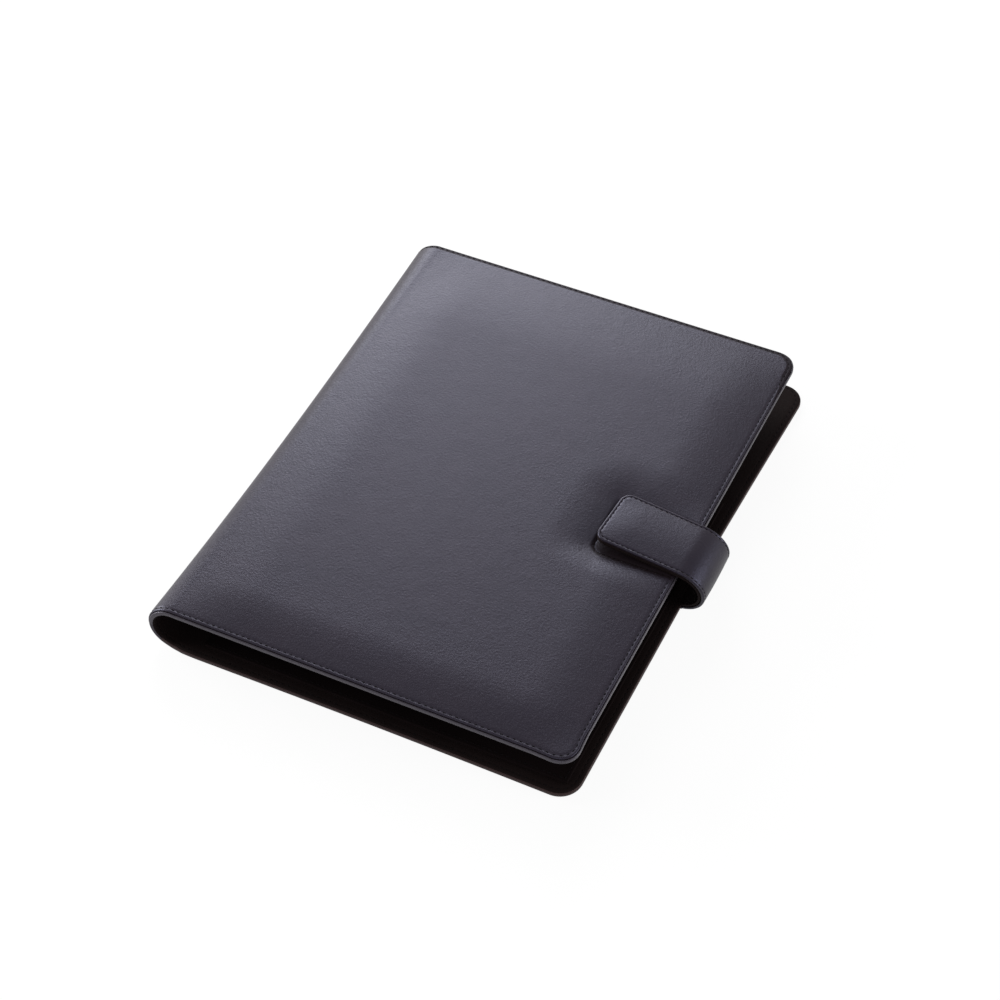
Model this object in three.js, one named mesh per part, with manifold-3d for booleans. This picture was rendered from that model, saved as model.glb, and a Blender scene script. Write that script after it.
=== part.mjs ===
// An A4 conference folder in black leather: two stiff covers round a soft rounded spine, held shut
// by a strap that bends round the fore-edge and closes on a magnet in the front cover.
//
// Millimetres, +Z up. The closed folder lies on its back cover. X runs from the spine to the
// fore-edge, Y from the tail to the head, and the origin is under the middle of the outline.
// The leather bends along straight lines across it. Between two such lines it is one stiff link,
// and all lines lie on the outside face, where the length of the leather doesn't change.

import * as THREE from 'three';
import { mergeVertices } from 'three/addons/utils/BufferGeometryUtils.js';
import Module from 'manifold-3d';

// The closed folder
const COVER_LENGTH = 325;
const COVER_WIDTH = 252; // outside of the spine to the back cover's fore-edge
const CLOSED_HEIGHT = 31; // outside to outside of the two covers, at their edges
const FRONT_STEP_BACK = 2.2; // how far the front cover's fore-edge lies behind the back cover's
const CORNER_RADIUS = 13;
const SQUARE_CORNER = 0.4; // radius of a corner that is as good as sharp
const LEAST_CORNER = 1.5; // radius that a cover's corner keeps, however far in

// What a cover is made of, from the outside in
const LEATHER = 1;
const BOARD = 2;
const LINING = 1;
const HEM_WIDTH = 9; // the turned-in edge, which the board stops short of
const EDGE_ROUND = 0.7;
const LINING_SET_BACK = 0.4;
const FIT = 0.3; // clearance between pieces that lie on each other

// The padded face of the front cover
const STITCH_INSET = 4.5;
const CROWN_HEIGHT = 2.3;
const CROWN_RUN = 40; // from the stitch line to the level middle
const PADDING_INSET = 13;

// The bed in the padding that the strap lies in, sewn down round its edge
const BED_LENGTH = 52.8; // from the front cover's fore-edge
const BED_WIDTH = 47;
const BED_CORNER = 6.5;
const BED_SLOPE = 22; // from its stitch line up to the padded face
const BED_LIFT = 0.05; // its floor over the level of the cover's edge

// The strap
const STRAP_WIDTH = 36;
const STRAP_LAYER = 1.8;
const STRAP_PARED = 0.6; // a layer's thickness where it is sewn into the back cover
const STRAP_FLOOR = 0.3; // the lowest line of the bend over the table
const STRAP_LIFT = 0.5; // the strap over the front cover's edge
const STRAP_SET_BACK = 3.1; // centre of the bend behind the back cover's fore-edge
const STRAP_LAP = 50.2; // the straight part that lies on the front cover
const STRAP_RISE = THREE.MathUtils.degToRad(3); // of the straight part, towards its tip
const STRAP_TIP_RADIUS = 5.5;
const STRAP_EDGE_ROUND = 0.5;

// The closure: a magnet let into the front board, a steel plate in the tip of the strap
const MAGNET_RADIUS = 10;
const MAGNET_THICKNESS = 3.2;
const MAGNET_FROM_TIP = 18; // centre of the magnet and of the plate over it
const BOSS_SLOPE = 1.5;
const KEEPER_SIZE = 26; // a square plate
const KEEPER_THICKNESS = 1.2;
const KEEPER_CORNER = 4;

// Bends
const BEND_LINES = 4; // in the spine, and in the strap
const SPINE_TURN = Math.PI;
const LINK_STEPS = 6;
const CORNER_STEPS = 8;
const EDGE_STEPS = 2;
const CROWN_SHARES = [1, 0.7, 0.45, 0.25, 0.1]; // of its run, where the crown's face is drawn
const SLOPE_SHARES = [0, 0.12, 0.3, 0.55, 1]; // of its run, where the bed's slope is drawn
const OVERCUT = 2; // how far a cutting shape reaches past what it cuts

// Inside the covers
const POCKET_LEATHER = 0.9;
const POCKET_SPACE = 0.6;
const POCKET_SEAM = 3;
const PAD_POCKET_WIDTH = 216; // takes the card back of an A4 pad, 210 wide
const PAD_POCKET_HEIGHT = 215;
const DOCUMENT_POCKET_WIDTH = 218;
const DOCUMENT_POCKET_HIGH = 225; // at the fore-edge, where its slanting mouth is highest
const DOCUMENT_POCKET_LOW = 175; // at the spine
const POCKET_MARGIN = 6; // from the edges of the cover
const CARD_POCKETS = 3;
const CARD_WIDTH = 98;
const CARD_HEIGHT = 48;
const CARD_STEP = 13; // each card pocket lies this much lower than the one behind it
const CARD_FROM_SPINE = 60;
const CARD_FROM_TAIL = 72;

// The loop for a pen, in the gutter
const PEN_RADIUS = 5.6;
const PEN_LOOP_THICKNESS = 1.1;
const PEN_LOOP_WIDTH = 20;
const PEN_LOOP_TAB = 6;
const PEN_LOOP_FROM_GUTTER = 1; // centre of the loop, towards the fore-edge
const PEN_LOOP_FROM_HEAD = 137.5; // its middle

// Sizes that follow
const HEM_LEATHER = 2 * LEATHER;
const COVER_THICKNESS = LEATHER + BOARD + LINING + 2 * FIT;
const BOARD_OUTSIDE = LEATHER + FIT;
const BOARD_INSIDE = BOARD_OUTSIDE + BOARD;
const SPINE_RADIUS = CLOSED_HEIGHT / 2;
const STRAP_THICKNESS = 2 * STRAP_LAYER + FIT;
const STRAP_TOP = CLOSED_HEIGHT + STRAP_LIFT + STRAP_THICKNESS;
const STRAP_RADIUS = (STRAP_TOP - STRAP_FLOOR) / 2;
const STRAP_TURN = Math.PI - STRAP_RISE;
const STRAP_REACH = STRAP_RADIUS - STRAP_SET_BACK; // beyond the back cover's fore-edge
const X_SPINE = -(COVER_WIDTH + STRAP_REACH) / 2;
const X_GUTTER = X_SPINE + SPINE_RADIUS; // where the covers end and the rounded spine begins
const X_BACK = X_SPINE + COVER_WIDTH;
const X_FRONT = X_BACK - FRONT_STEP_BACK;
const X_BEND = X_BACK - STRAP_SET_BACK;
const X_TIP = X_BEND - STRAP_LAP * Math.cos(STRAP_RISE);
const X_MAGNET = X_TIP + MAGNET_FROM_TIP;
const BOSS_RISE = MAGNET_THICKNESS + FIT + LEATHER - BOARD_INSIDE;

const MATERIALS = {
  leather: new THREE.MeshStandardMaterial({ color: 0x2b2a2f, roughness: 0.48, metalness: 0 }),
  lining: new THREE.MeshStandardMaterial({ color: 0x1a1617, roughness: 0.62, metalness: 0 }),
  board: new THREE.MeshStandardMaterial({ color: 0x8a8173, roughness: 0.9, metalness: 0 }),
  foam: new THREE.MeshStandardMaterial({ color: 0xc9c5ba, roughness: 0.95, metalness: 0 }),
  steel: new THREE.MeshStandardMaterial({ color: 0xb4b6b8, roughness: 0.35, metalness: 1 }),
  elastic: new THREE.MeshStandardMaterial({ color: 0x151314, roughness: 0.85, metalness: 0 }),
};

const wasm = await Module();
wasm.setup();

// A closed body through rings of the same number of points, with a flat cap at each end.
function loft(rings) {
  const count = rings[0].length;
  const points = rings.flat();
  const index = [];
  for (let r = 0; r + 1 < rings.length; r++) {
    for (let i = 0; i < count; i++) {
      const a = r * count + i;
      const b = r * count + ((i + 1) % count);
      index.push(a, b, b + count, a, b + count, a + count);
    }
  }
  const caps = [[rings[0], 0, true], [rings.at(-1), points.length - count, false]];
  for (const [cap, first, turned] of caps) {
    const middle = points.length;
    points.push(cap.reduce((sum, p) => sum.add(p), new THREE.Vector3()).divideScalar(count));
    for (let i = 0; i < count; i++) {
      const a = first + i;
      const b = first + ((i + 1) % count);
      index.push(middle, turned ? b : a, turned ? a : b);
    }
  }
  const geometry = new THREE.BufferGeometry().setFromPoints(points);
  geometry.setIndex(facingOut(points, index));
  return geometry;
}

// Turns every triangle over if the body they close is inside out.
function facingOut(points, index) {
  let volume = 0;
  const normal = new THREE.Vector3();
  for (let i = 0; i < index.length; i += 3) {
    normal.crossVectors(points[index[i]], points[index[i + 1]]);
    volume += normal.dot(points[index[i + 2]]);
  }
  if (volume > 0) return index;
  for (let i = 0; i < index.length; i += 3) {
    [index[i], index[i + 1]] = [index[i + 1], index[i]];
  }
  return index;
}

// A level ring round a rectangle, with one corner radius at its low-X end and one at its high-X end.
function ring({ x0, x1, y0, y1, r0, r1, z }) {
  const corners = [
    [x1 - r1, y0 + r1, r1, -0.5],
    [x1 - r1, y1 - r1, r1, 0],
    [x0 + r0, y1 - r0, r0, 0.5],
    [x0 + r0, y0 + r0, r0, 1],
  ];
  const points = [];
  for (const [x, y, radius, quarter] of corners) {
    for (let i = 0; i <= CORNER_STEPS; i++) {
      const angle = (quarter + i / CORNER_STEPS / 2) * Math.PI;
      points.push(new THREE.Vector3(x + radius * Math.cos(angle), y + radius * Math.sin(angle), z));
    }
  }
  return points;
}

function box(x0, x1, y0, y1, z0, z1) {
  const geometry = new THREE.BoxGeometry(x1 - x0, y1 - y0, z1 - z0);
  return geometry.translate((x0 + x1) / 2, (y0 + y1) / 2, (z0 + z1) / 2);
}

// A disc or a cone's frustum on the Z axis through (x, y).
function round(x, y, z0, z1, radius0, radius1 = radius0) {
  const geometry = new THREE.CylinderGeometry(radius1, radius0, z1 - z0, 32);
  return geometry.rotateX(Math.PI / 2).translate(x, y, (z0 + z1) / 2);
}

function solid(geometry) {
  const bare = geometry.clone();
  bare.deleteAttribute('normal');
  bare.deleteAttribute('uv');
  const merged = mergeVertices(bare, 1e-5);
  return new wasm.Manifold(new wasm.Mesh({
    numProp: 3,
    vertProperties: merged.attributes.position.array,
    triVerts: Uint32Array.from(merged.index.array),
  }));
}

function geometryOf(body) {
  const mesh = body.getMesh();
  const geometry = new THREE.BufferGeometry();
  geometry.setAttribute('position', new THREE.BufferAttribute(mesh.vertProperties.slice(), 3));
  geometry.setIndex(new THREE.BufferAttribute(mesh.triVerts.slice(), 1));
  return geometry;
}

function join(first, ...others) {
  return geometryOf(others.reduce((body, other) => body.add(solid(other)), solid(first)));
}

function cut(first, ...others) {
  return geometryOf(others.reduce((body, other) => body.subtract(solid(other)), solid(first)));
}

function piece(name, geometry, material) {
  const mesh = new THREE.Mesh(geometry, material);
  mesh.name = name;
  geometry.computeVertexNormals();
  return mesh;
}

// The points of a rounded edge, each as far in from the side and as far up from the face.
function edgeCurve(radius) {
  return Array.from({ length: EDGE_STEPS + 1 }, (_, i) => {
    const turn = ((i / EDGE_STEPS) * Math.PI) / 2;
    return [radius * (1 - Math.sin(turn)), radius * (1 - Math.cos(turn))];
  });
}

// Covers. Each is drawn with its outside face down at z = 0, as the back cover lies. The front
// cover is turned over about X, so its head is at -Y in its own frame.

// A ring round a cover, drawn in by inset at the tail, head and fore-edge.
function coverRing(fore, inset, z, spineInset = inset) {
  return ring({
    x0: X_GUTTER + spineInset,
    x1: fore - inset,
    y0: -COVER_LENGTH / 2 + inset,
    y1: COVER_LENGTH / 2 - inset,
    r0: SQUARE_CORNER,
    r1: Math.max(CORNER_RADIUS - inset, LEAST_CORNER),
    z,
  });
}

// The rounded outer edge, from the outside face at z = 0 up to the height given.
function edgeRings(fore, top) {
  return [...edgeCurve(EDGE_ROUND), [0, top]].map(([inset, z]) => coverRing(fore, inset, z, 0));
}

// The section of the leather across the spine, a flat strip with its two outer edges rounded.
function stripSection(width, depth0, depth1, edgeRound) {
  const half = width / 2;
  const left = edgeCurve(edgeRound).map(([inset, depth]) => [-half + inset, depth0 + depth]);
  const right = left.map(([y, depth]) => [-y, depth]).reverse();
  return [...right, ...left, [-half, depth1], [half, depth1]];
}

// A strip swept along stations, each a point of its outside line with the way in from there.
function sweep(stations, sectionAt) {
  return loft(stations.map((station) => sectionAt(station).map(([y, depth]) => new THREE.Vector3(
    station.x + station.inX * depth,
    y,
    station.z + station.inZ * depth,
  ))));
}

function stationsBetween(path, from, to, steps) {
  return Array.from({ length: steps + 1 }, (_, i) => path(from + ((to - from) * i) / steps));
}

// Points on the outside of the spine: level before angle 0, then round from back to front.
const spinePath = (angle) => ({
  x: X_GUTTER - SPINE_RADIUS * Math.sin(angle),
  z: SPINE_RADIUS - SPINE_RADIUS * Math.cos(angle),
  inX: Math.sin(angle),
  inZ: Math.cos(angle),
});

// Points on the outside of the strap's bend, from under the back cover to over the front cover.
const strapPath = (angle) => ({
  x: X_BEND + STRAP_RADIUS * Math.sin(angle),
  z: STRAP_FLOOR + STRAP_RADIUS - STRAP_RADIUS * Math.cos(angle),
  inX: -Math.sin(angle),
  inZ: Math.cos(angle),
});

const bendLine = (turn, k) => (turn * (2 * k - 1)) / (2 * BEND_LINES);
const halfGap = (innerRadius) => FIT / 2 / innerRadius;
const SPINE_GAP = halfGap(SPINE_RADIUS - COVER_THICKNESS);
const STRAP_GAP = halfGap(STRAP_RADIUS - STRAP_THICKNESS);

// The first part of the rounded spine, which belongs to the cover that it grows out of.
function spineRoot(depth0, depth1, edgeRound, setBack = 0) {
  const level = { ...spinePath(0), x: X_GUTTER + HEM_WIDTH / 2 };
  const bend = stationsBetween(spinePath, 0, bendLine(SPINE_TURN, 1) - SPINE_GAP, LINK_STEPS / 2);
  const section = stripSection(COVER_LENGTH - 2 * setBack, depth0, depth1, edgeRound);
  return sweep([level, ...bend], () => section);
}

function spineLink(k, depth0, depth1, edgeRound, setBack = 0) {
  const from = bendLine(SPINE_TURN, k) + SPINE_GAP;
  const to = bendLine(SPINE_TURN, k + 1) - SPINE_GAP;
  const section = stripSection(COVER_LENGTH - 2 * setBack, depth0, depth1, edgeRound);
  return sweep(stationsBetween(spinePath, from, to, LINK_STEPS), () => section);
}

// The space in the back cover's edge that the end of the strap is sewn into.
function strapNotch(z0, z1) {
  const half = STRAP_WIDTH / 2 + FIT;
  return box(X_BACK - HEM_WIDTH - FIT, X_BACK + FIT, -half, half, z0, z1);
}

function backLeather() {
  const skin = loft([
    ...edgeRings(X_BACK, HEM_LEATHER),
    coverRing(X_BACK, HEM_WIDTH, HEM_LEATHER),
    coverRing(X_BACK, HEM_WIDTH, LEATHER),
  ]);
  return cut(join(skin, spineRoot(0, HEM_LEATHER, EDGE_ROUND)), strapNotch(LEATHER, COVER_THICKNESS));
}

// How far the padded face stands out at a share of its run, and at a distance from the edge.
const crownAt = (share) => CROWN_HEIGHT * Math.sin((THREE.MathUtils.clamp(share, 0, 1) * Math.PI) / 2);
const crown = (inset) => crownAt((inset - STITCH_INSET) / CROWN_RUN);

// The face of the padding, or a skin's depth inside it, from the level middle to the given inset.
function crownRings(depth, outermost) {
  const insets = CROWN_SHARES.map((share) => STITCH_INSET + share * CROWN_RUN);
  const kept = insets.filter((inset) => inset > outermost + FIT);
  return [...kept, outermost].map((inset) => coverRing(X_FRONT, inset, depth - crown(inset)));
}

// Everything over the strap's bed: its floor, the slopes round it and the air above them. A depth
// moves the surface in, towards the board.
function bed(depth) {
  const slopes = SLOPE_SHARES.map((share) => [share * BED_SLOPE, crownAt(share)]);
  return loft([...slopes, [BED_SLOPE, CROWN_HEIGHT + OVERCUT]].map(([grow, rise]) => ring({
    x0: X_FRONT - BED_LENGTH - grow - depth / 2,
    x1: X_FRONT + CORNER_RADIUS,
    y0: -BED_WIDTH / 2 - grow - depth / 2,
    y1: BED_WIDTH / 2 + grow + depth / 2,
    r0: BED_CORNER + grow,
    r1: SQUARE_CORNER,
    z: depth - BED_LIFT - rise,
  })));
}

// The boss that the magnet raises in the bed, under the tip of the strap.
function magnetBoss() {
  const radius = MAGNET_RADIUS + FIT + LEATHER;
  return round(X_MAGNET, 0, -BOSS_RISE, LEATHER / 2, radius, radius + BOSS_SLOPE);
}

function frontLeather() {
  const outside = loft([...crownRings(0, STITCH_INSET), ...edgeRings(X_FRONT, HEM_LEATHER)]);
  const inside = loft([
    ...crownRings(LEATHER, HEM_WIDTH),
    coverRing(X_FRONT, HEM_WIDTH, HEM_LEATHER + OVERCUT),
  ]);
  const magnetSpace = round(X_MAGNET, 0, LEATHER - BOSS_RISE, HEM_LEATHER, MAGNET_RADIUS + FIT);
  const bedded = join(cut(outside, bed(0)), magnetBoss(), spineRoot(0, HEM_LEATHER, EDGE_ROUND));
  return cut(bedded, join(cut(inside, bed(LEATHER)), magnetSpace));
}

function frontPadding() {
  const pad = loft([
    ...crownRings(LEATHER + FIT, PADDING_INSET),
    coverRing(X_FRONT, PADDING_INSET, BOARD_OUTSIDE - FIT),
  ]);
  return cut(pad, bed(LEATHER + FIT));
}

function board(fore) {
  const inset = HEM_WIDTH + FIT;
  return loft([coverRing(fore, inset, BOARD_OUTSIDE), coverRing(fore, inset, BOARD_INSIDE)]);
}

function frontBoard() {
  return cut(board(X_FRONT), round(X_MAGNET, 0, 0, COVER_THICKNESS, MAGNET_RADIUS + FIT));
}

// The inside sheet of a cover. Its own turned-in edge fills the hem, and the board lies under it.
function coverLining(fore) {
  const under = HEM_LEATHER + FIT;
  const sheet = loft([
    coverRing(fore, HEM_WIDTH, BOARD_INSIDE + FIT),
    coverRing(fore, HEM_WIDTH, under),
    coverRing(fore, LINING_SET_BACK, under, 0),
    coverRing(fore, LINING_SET_BACK, COVER_THICKNESS - EDGE_ROUND, 0),
    coverRing(fore, LINING_SET_BACK + EDGE_ROUND, COVER_THICKNESS, 0),
  ]);
  return join(sheet, spineRoot(under, COVER_THICKNESS, EDGE_ROUND / 2, LINING_SET_BACK));
}

function backLining() {
  return cut(coverLining(X_BACK), strapNotch(HEM_LEATHER, COVER_THICKNESS - LINING));
}

// Pockets. Each is a sheet sewn down on three sides, with its mouth on the fourth.
function pocket(outline, inner, z) {
  const sheet = extrude(outline, z, POCKET_SPACE + POCKET_LEATHER);
  return cut(sheet, extrude(inner, z - POCKET_SPACE, 2 * POCKET_SPACE));
}

function extrude(corners, z, height) {
  const shape = new THREE.Shape(corners.map(([x, y]) => new THREE.Vector2(x, y)));
  return new THREE.ExtrudeGeometry(shape, { depth: height, bevelEnabled: false }).translate(0, 0, z);
}

// The corners of a pocket whose mouth is at y1a at the low-X side and y1b at the high-X side.
const pocketCorners = (x0, x1, y0, y1a, y1b) => [[x0, y0], [x1, y0], [x1, y1b], [x0, y1a]];

function padPocket() {
  const x1 = X_BACK - POCKET_MARGIN;
  const x0 = x1 - PAD_POCKET_WIDTH;
  const y0 = -COVER_LENGTH / 2 + POCKET_MARGIN;
  const y1 = y0 + PAD_POCKET_HEIGHT;
  return pocket(
    pocketCorners(x0, x1, y0, y1, y1),
    pocketCorners(x0 + POCKET_SEAM, x1 - POCKET_SEAM, y0 + POCKET_SEAM, y1 + OVERCUT, y1 + OVERCUT),
    COVER_THICKNESS + FIT,
  );
}

function documentPocket() {
  const x1 = X_FRONT - POCKET_MARGIN;
  const x0 = x1 - DOCUMENT_POCKET_WIDTH;
  const tail = COVER_LENGTH / 2 - POCKET_MARGIN;
  const mouth = [tail - DOCUMENT_POCKET_LOW, tail - DOCUMENT_POCKET_HIGH];
  const past = mouth.map((y) => y - OVERCUT);
  return pocket(
    pocketCorners(x0, x1, tail, ...mouth),
    pocketCorners(x0 + POCKET_SEAM, x1 - POCKET_SEAM, tail - POCKET_SEAM, ...past),
    COVER_THICKNESS + FIT,
  );
}

// Card pocket k, counted from the one that lies on the document pocket.
function cardPocket(k) {
  const x0 = X_GUTTER + CARD_FROM_SPINE;
  const x1 = x0 + CARD_WIDTH;
  const tail = COVER_LENGTH / 2 - CARD_FROM_TAIL + k * CARD_STEP;
  const mouth = tail - CARD_HEIGHT;
  const past = mouth - OVERCUT;
  return pocket(
    pocketCorners(x0, x1, tail, mouth, mouth),
    pocketCorners(x0 + POCKET_SEAM, x1 - POCKET_SEAM, tail - POCKET_SEAM, past, past),
    COVER_THICKNESS + FIT + (k + 1) * (POCKET_SPACE + POCKET_LEATHER + FIT),
  );
}

// A band round the pen, with the tab that sews it to the lining.
function penLoop() {
  const outer = PEN_RADIUS + PEN_LOOP_THICKNESS;
  const meet = Math.acos((outer - PEN_LOOP_THICKNESS) / outer);
  const shape = new THREE.Shape();
  shape.moveTo(0, -outer);
  shape.lineTo(outer + PEN_LOOP_TAB, -outer);
  shape.lineTo(outer + PEN_LOOP_TAB, -outer + PEN_LOOP_THICKNESS);
  shape.lineTo(outer * Math.sin(meet), -outer * Math.cos(meet));
  shape.absarc(0, 0, outer, meet - Math.PI / 2, 1.5 * Math.PI, false);
  const bore = new THREE.Path().absarc(0, 0, PEN_RADIUS, 0, 2 * Math.PI, true);
  shape.holes.push(bore);
  const geometry = new THREE.ExtrudeGeometry(shape, {
    depth: PEN_LOOP_WIDTH,
    bevelEnabled: false,
    curveSegments: 20,
  });
  geometry.rotateX(Math.PI / 2);
  return geometry.translate(
    X_GUTTER + PEN_LOOP_FROM_GUTTER,
    COVER_LENGTH / 2 - PEN_LOOP_FROM_HEAD + PEN_LOOP_WIDTH / 2,
    COVER_THICKNESS + FIT + outer,
  );
}

// The two layers of the strap, as depths from its outside.
const STRAP_LAYERS = {
  leather: { depth0: 0, depth1: STRAP_LAYER, tongueZ: BOARD_OUTSIDE },
  lining: { depth0: STRAP_LAYER + FIT, depth1: STRAP_THICKNESS, tongueZ: BOARD_INSIDE - STRAP_PARED },
};

function strapSection(layer, width = STRAP_WIDTH) {
  return stripSection(width, layer.depth0, layer.depth1, STRAP_EDGE_ROUND);
}

// The end of a strap layer that is sewn in between the back cover's leather and lining. The layers
// are pared down there, to lie one on the other in the thickness of the board.
function strapRoot(layer) {
  const start = Math.asin((STRAP_SET_BACK + FIT) / STRAP_RADIUS);
  const end = bendLine(STRAP_TURN, 1) - STRAP_GAP;
  const stub = sweep(stationsBetween(strapPath, start, end, LINK_STEPS / 2), () => strapSection(layer));
  const tongue = box(
    X_BACK - HEM_WIDTH + FIT, X_BACK + 2 * FIT,
    -STRAP_WIDTH / 2 + FIT, STRAP_WIDTH / 2 - FIT,
    layer.tongueZ, layer.tongueZ + STRAP_PARED,
  );
  return join(stub, tongue);
}

function strapLink(layer, k) {
  const from = bendLine(STRAP_TURN, k) + STRAP_GAP;
  const to = bendLine(STRAP_TURN, k + 1) - STRAP_GAP;
  return sweep(stationsBetween(strapPath, from, to, LINK_STEPS), () => strapSection(layer));
}

// A point on the straight part of the strap, at a distance from its tip.
function strapStation(fromTip) {
  const end = strapPath(STRAP_TURN);
  const run = STRAP_LAP - fromTip;
  return {
    ...end,
    x: end.x + run * Math.cos(STRAP_TURN),
    z: end.z + run * Math.sin(STRAP_TURN),
    fromTip,
  };
}

// The last link and the straight part, with round corners at the tip.
function strapTip(layer) {
  const from = bendLine(STRAP_TURN, BEND_LINES) + STRAP_GAP;
  const bend = stationsBetween(strapPath, from, STRAP_TURN, LINK_STEPS / 2);
  const corner = Array.from({ length: CORNER_STEPS }, (_, i) => {
    const turn = (((i + 1) / CORNER_STEPS) * Math.PI) / 2;
    return STRAP_TIP_RADIUS * (1 - Math.sin(turn));
  });
  const straight = [STRAP_TIP_RADIUS, ...corner].map(strapStation);
  return sweep([...bend, ...straight], ({ fromTip = STRAP_TIP_RADIUS }) => {
    const reach = STRAP_TIP_RADIUS - Math.min(fromTip, STRAP_TIP_RADIUS);
    const drawnIn = STRAP_TIP_RADIUS - Math.sqrt(STRAP_TIP_RADIUS ** 2 - reach ** 2);
    return strapSection(layer, STRAP_WIDTH - 2 * drawnIn);
  });
}

// Puts a shape that is drawn at the strap's tip, with X along the strap and Z into it, in place.
function onStrap(geometry, fromTip) {
  const station = strapStation(fromTip);
  const along = new THREE.Vector3(-Math.cos(STRAP_TURN), 0, -Math.sin(STRAP_TURN));
  const inward = new THREE.Vector3(station.inX, 0, station.inZ);
  const across = new THREE.Vector3().crossVectors(inward, along);
  const basis = new THREE.Matrix4().makeBasis(along, across, inward);
  basis.setPosition(station.x, 0, station.z);
  return geometry.applyMatrix4(basis);
}

// The steel plate, or the space for it with a clearance all round.
function keeper(clearance) {
  const half = KEEPER_SIZE / 2 + clearance;
  const outline = { x0: -half, x1: half, y0: -half, y1: half, r0: KEEPER_CORNER, r1: KEEPER_CORNER };
  const z0 = (STRAP_THICKNESS - KEEPER_THICKNESS) / 2 - clearance;
  const z1 = (STRAP_THICKNESS + KEEPER_THICKNESS) / 2 + clearance;
  return onStrap(loft([ring({ ...outline, z: z0 }), ring({ ...outline, z: z1 })]), MAGNET_FROM_TIP);
}

const folder = new THREE.Group();

folder.add(
  piece('back_leather', backLeather(), MATERIALS.leather),
  piece('back_board', board(X_BACK), MATERIALS.board),
  piece('back_lining', backLining(), MATERIALS.lining),
  piece('pad_pocket', padPocket(), MATERIALS.lining),
  piece('pen_loop', penLoop(), MATERIALS.elastic),
  piece('strap_root_leather', strapRoot(STRAP_LAYERS.leather), MATERIALS.leather),
  piece('strap_root_lining', strapRoot(STRAP_LAYERS.lining), MATERIALS.lining),
);

for (let k = 1; k < BEND_LINES; k++) {
  const leather = spineLink(k, 0, HEM_LEATHER, EDGE_ROUND);
  const lining = spineLink(k, HEM_LEATHER + FIT, COVER_THICKNESS, EDGE_ROUND / 2, LINING_SET_BACK);
  folder.add(
    piece(`spine_leather_${k}`, leather, MATERIALS.leather),
    piece(`spine_lining_${k}`, lining, MATERIALS.lining),
    piece(`strap_leather_${k}`, strapLink(STRAP_LAYERS.leather, k), MATERIALS.leather),
    piece(`strap_lining_${k}`, strapLink(STRAP_LAYERS.lining, k), MATERIALS.lining),
  );
}

const frontCover = new THREE.Group();
frontCover.rotation.x = Math.PI;
frontCover.position.z = CLOSED_HEIGHT;
frontCover.add(
  piece('front_leather', frontLeather(), MATERIALS.leather),
  piece('front_padding', frontPadding(), MATERIALS.foam),
  piece('front_board', frontBoard(), MATERIALS.board),
  piece('front_lining', coverLining(X_FRONT), MATERIALS.lining),
  piece('document_pocket', documentPocket(), MATERIALS.lining),
  piece(
    'front_magnet',
    round(X_MAGNET, 0, BOARD_INSIDE - MAGNET_THICKNESS, BOARD_INSIDE, MAGNET_RADIUS),
    MATERIALS.steel,
  ),
);
for (let k = 0; k < CARD_POCKETS; k++) {
  frontCover.add(piece(`card_pocket_${k + 1}`, cardPocket(k), MATERIALS.lining));
}
folder.add(frontCover);

folder.add(
  piece('strap_tip_leather', cut(strapTip(STRAP_LAYERS.leather), keeper(FIT)), MATERIALS.leather),
  piece('strap_tip_lining', cut(strapTip(STRAP_LAYERS.lining), keeper(FIT)), MATERIALS.lining),
  piece('strap_keeper', keeper(0), MATERIALS.steel),
);

export default folder;
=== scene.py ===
import math
from collections import namedtuple

import bpy
import numpy as np
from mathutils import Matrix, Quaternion, Vector

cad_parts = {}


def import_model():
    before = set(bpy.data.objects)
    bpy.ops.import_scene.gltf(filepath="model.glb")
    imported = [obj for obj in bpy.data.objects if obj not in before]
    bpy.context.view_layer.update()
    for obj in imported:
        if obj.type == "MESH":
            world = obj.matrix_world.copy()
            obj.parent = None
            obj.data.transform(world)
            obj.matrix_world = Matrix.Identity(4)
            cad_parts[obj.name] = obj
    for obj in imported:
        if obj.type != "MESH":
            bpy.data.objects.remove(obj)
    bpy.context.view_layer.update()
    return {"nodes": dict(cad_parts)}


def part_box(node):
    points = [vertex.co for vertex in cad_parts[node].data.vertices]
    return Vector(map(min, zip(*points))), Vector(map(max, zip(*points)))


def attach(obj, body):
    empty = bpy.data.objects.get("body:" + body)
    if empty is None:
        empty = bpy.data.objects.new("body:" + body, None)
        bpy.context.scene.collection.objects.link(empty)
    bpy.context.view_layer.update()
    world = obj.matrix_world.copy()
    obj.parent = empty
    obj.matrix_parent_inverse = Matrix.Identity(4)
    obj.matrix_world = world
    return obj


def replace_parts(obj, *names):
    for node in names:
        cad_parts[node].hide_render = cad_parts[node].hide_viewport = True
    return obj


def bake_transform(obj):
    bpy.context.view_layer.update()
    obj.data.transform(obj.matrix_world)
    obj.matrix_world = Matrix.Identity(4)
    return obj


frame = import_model()

MM = 0.001

# Sizes of the part in mm, the same as in its source
LENGTH = 325.0
X_GUTTER = -117.725
X_BACK = 118.775
X_FRONT = 116.575
SPINE_RADIUS = 15.5
CORNER = 13.0
LEATHER = 1.0
HEM_DEPTH = 2.0
HEM_WIDTH = 9.0
FIT = 0.3
COVER_DEPTH = 4.6
LINING_UNDER = 3.6
STRAP_LAYER = 1.8
STRAP_DEPTH = 3.9
STRAP_FLOOR = 0.3
STRAP_RADIUS = 17.55
STRAP_TURN = math.radians(177)
STRAP_TILT = math.radians(3)
STRAP_LAP = 50.2
X_BEND = 115.675
MAGNET_FROM_TIP = 18
MAGNET_X = X_BEND - STRAP_LAP * math.cos(STRAP_TILT) + MAGNET_FROM_TIP
BOSS_RISE = 1.2
BOSS_RADIUS = 11.3
POCKET_SHEET = 1.5
DOCUMENT_SHORT_SIDE = 175
PEN_LOOP_RADIUS = 6.7
PEN_LOOP_SHEET = 1.1

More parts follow.
